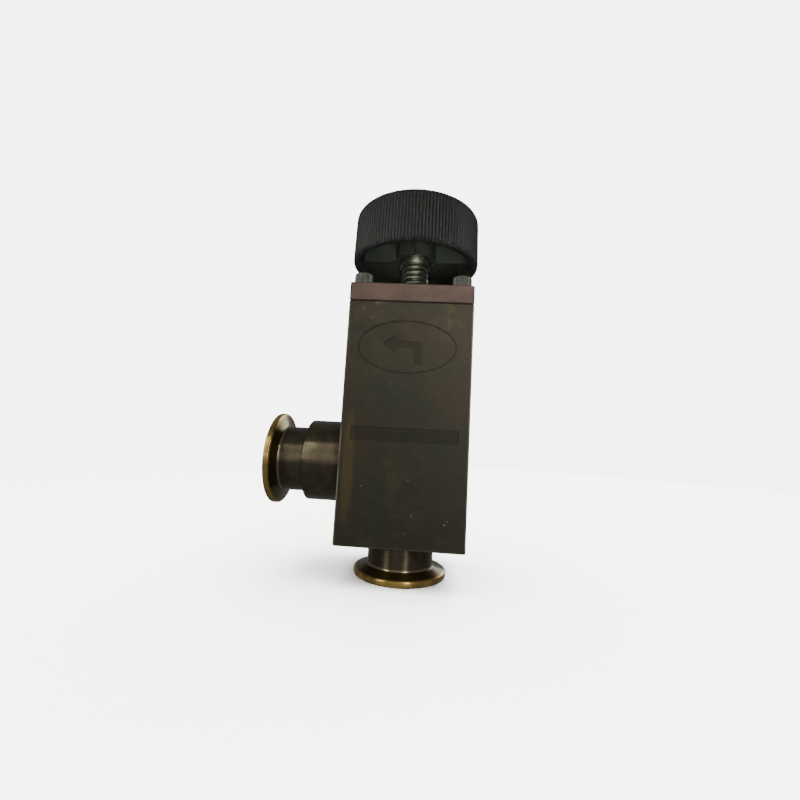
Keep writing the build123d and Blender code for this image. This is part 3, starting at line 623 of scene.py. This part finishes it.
def fluted_radius(radius, height, angle):
    # Round flutes on the outside, dying out where the crown and the lip turn in
    fade = min(1.0, max(0.0, (radius - MOUTH_RADIUS - 0.3) / 1.2))
    if height < KNOB_LOW.z + 0.05 or height > KNOB_HIGH.z - 0.05:
        fade = 0.0
    return radius - fade * FLUTE_DEPTH * (0.5 - 0.5 * math.cos(FLUTES * angle))


upper_radius = KNOB_RADIUS - KNOB_DRAFT
cup = [(CAP_RECESS_RADIUS, KNOB_HIGH.z)]
cup += rounding((upper_radius - CROWN_ROUND, KNOB_HIGH.z - CROWN_ROUND), CROWN_ROUND, 90, 0, 12)
cup += rounding((KNOB_RADIUS - LIP_ROUND, KNOB_LOW.z + LIP_ROUND), LIP_ROUND, 0, -90, 12)
cup += [(MOUTH_RADIUS, KNOB_LOW.z), (HOLLOW_RADIUS, KNOB_LOW.z + MOUTH_DEPTH)]
cup += rounding((HOLLOW_RADIUS - HOLLOW_ROUND, HOLLOW_TOP - HOLLOW_ROUND), HOLLOW_ROUND, 0, 90, 5)
cup += [(CAP_RECESS_RADIUS, HOLLOW_TOP)]
hub = [(HUB_BORE, HUB_BOTTOM), (HUB_RADIUS - HUB_EDGE, HUB_BOTTOM), (HUB_RADIUS, HUB_BOTTOM + HUB_EDGE)]
hub += [(HUB_RADIUS, HOLLOW_TOP + 1), (HUB_BORE, HOLLOW_TOP + 1)]
rib_outline = [
    (HUB_RADIUS - 0.5, -RIB_HALF),
    (HOLLOW_RADIUS + 0.5, -RIB_HALF),
    (HOLLOW_RADIUS + 0.5, RIB_HALF),
    (HUB_RADIUS - 0.5, RIB_HALF),
]
shapes = [turned(cup, FLUTES * FLUTE_STEPS, radius_at=fluted_radius), turned(hub, 96)]
for direction in ((1, 0), (0, 1), (-1, 0), (0, -1)):

    def in_hollow(along, side, level, c=direction[0], s=direction[1]):
        return (c * along - s * side, s * along + c * side, level)

    shapes.append(prism(rib_outline, HUB_BOTTOM, HOLLOW_TOP + 1, in_hollow))
knob_mesh = solid("fluted_knob", *together(*shapes))
shown(knob_mesh, "fluted_knob", plastic_material, "knob_unit", "knob", 40)

# Inside
# Plug, carrier, rings and small parts of stainless steel, turned and left bright.
stainless = Finish("stainless_steel", 1.0)
tone = stainless.noise(4, 4, 0.6)
colour = stainless.blend(tone, srgb("#b3b2ab"), srgb("#8f8e88"))
rings = stainless.noise(0.3, 2, 0.5, stretch=(30, 30, 1))
stainless_material = stainless.finish(colour, stainless.mixed(tone, 0.2, 0.2), rings, depth=0.01)
dress(stainless_material, "weld_ring", "plug_carrier", "plug", "seal_retainer", "retainer_screw")
dress(stainless_material, "thrust_ball", "snap_ring", "knob_washer", "knob_screw")

# Bellows of thin stainless leaves, welded between the ring's sleeve and the plug carrier.
BELLOWS_LOW, BELLOWS_HIGH = (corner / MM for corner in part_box("bellows"))
LEAF_WIDTH = 0.4
CONVOLUTIONS = 8
BELLOWS_INNER_RADIUS = 10.2
leaf_rise = (BELLOWS_HIGH.z - BELLOWS_LOW.z) / (2 * CONVOLUTIONS)
outside = []
for leaf in range(2 * CONVOLUTIONS + 1):
    outer = BELLOWS_HIGH.x if leaf % 2 == 0 else BELLOWS_INNER_RADIUS + LEAF_WIDTH
    outside.append((outer, BELLOWS_LOW.z + leaf * leaf_rise))
inside = [(r - LEAF_WIDTH, h) for r, h in reversed(outside)]
bellows_mesh = solid("leaf_bellows", *turned(outside + inside, 96))
bellows = shown(bellows_mesh, "leaf_bellows", stainless_material, None, "bellows", 60)
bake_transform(bellows)

# Bearing bronze of the thread bush and gland nut, and the brass insert moulded into the knob.
bearing = Finish("bearing_bronze", 0.95)
tone = bearing.noise(3, 4, 0.6)
colour = bearing.blend(tone, srgb("#a5804a"), srgb("#7c5c34"))
bearing_material = bearing.finish(colour, bearing.mixed(tone, 0.25, 0.25), tone, depth=0.02)
dress(bearing_material, "thread_bush", "gland_nut", "knob_insert")

# Seals of black rubber, with the dull skin left by the mould.
rubber = Finish("seal_rubber", 0.0, specular=0.4)
tone = rubber.noise(2, 4, 0.6)
colour = rubber.blend(tone, srgb("#1d1c1b"), srgb("#2b2826"))
rubber_material = rubber.finish(colour, rubber.mixed(tone, 0.2, 0.5), tone, depth=0.02)
dress(rubber_material, "bonnet_seal", "plug_seal")
